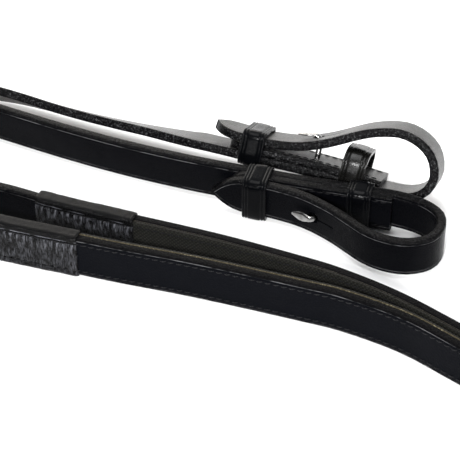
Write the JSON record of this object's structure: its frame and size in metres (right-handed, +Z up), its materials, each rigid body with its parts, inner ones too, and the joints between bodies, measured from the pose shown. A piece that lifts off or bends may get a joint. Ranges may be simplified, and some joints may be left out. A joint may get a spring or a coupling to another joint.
{
  "type": "leather riding reins",
  "caption": "Pair of flat leather riding reins with hook-stud bit loops, keepers, lined hand parts and a buckled centre, laid on edge with the spare length coiled.",
  "frame": {"origin": "middle of the object's bounding box in plan, on the table", "axes": "+X towards the coil, along the laid-out length; +Y away from the front; +Z up from the table"},
  "size_m": [0.3888, 0.2224, 0.0343],
  "materials": {
    "strap_leather": "polished black bridle leather",
    "keeper_leather": "polished black leather with creased edges",
    "cover_leather": "grained black leather, sewn",
    "hand_leather": "matt black leather with two rows of stitching",
    "hand_lining": "dark pimpled grip lining with brown edges",
    "plated_metal": "polished nickel plate"
  },
  "bodies": {
    "leather": {"left_bit_end_strap": "strap_leather", "left_stud_strip": "strap_leather", "left_hook_stud": "plated_metal", "left_point_keeper": "keeper_leather", "left_bit_keeper": "keeper_leather", "left_front_cover": "cover_leather", "left_hand_leather": "hand_leather", "left_hand_lining": "hand_lining", "left_rear_cover": "cover_leather", "left_centre_strap": "strap_leather", "right_bit_end_strap": "strap_leather", "right_stud_strip": "strap_leather", "right_hook_stud": "plated_metal", "right_point_keeper": "keeper_leather", "right_bit_keeper": "keeper_leather", "right_front_cover": "cover_leather", "right_hand_leather": "hand_leather", "right_hand_lining": "hand_lining", "right_rear_cover": "cover_leather", "right_centre_strap": "strap_leather", "fixed_keeper": "keeper_leather"},
    "frame": {"buckle_frame": "plated_metal"},
    "tongue": {"buckle_tongue": "plated_metal"},
    "keeper": {"running_keeper": "keeper_leather"}
  },
  "joints": [
    {"name": "buckle_swing", "type": "hinge", "parent": "leather", "child": "frame", "pos_m": [0.09659, -0.05741, 0.0099], "axis": [0, 0, 1], "range_deg": [-3, 3]},
    {"name": "tongue_swing", "type": "hinge", "parent": "frame", "child": "tongue", "pos_m": [0.09659, -0.05741, 0.0099], "axis": [0, 0, 1], "range_deg": [-8, 0]},
    {"name": "keeper_slide", "type": "slide", "parent": "leather", "child": "keeper", "axis": [0.5, -0.866, 0], "range_m": [-0.0025, 0.002]}
  ]
}
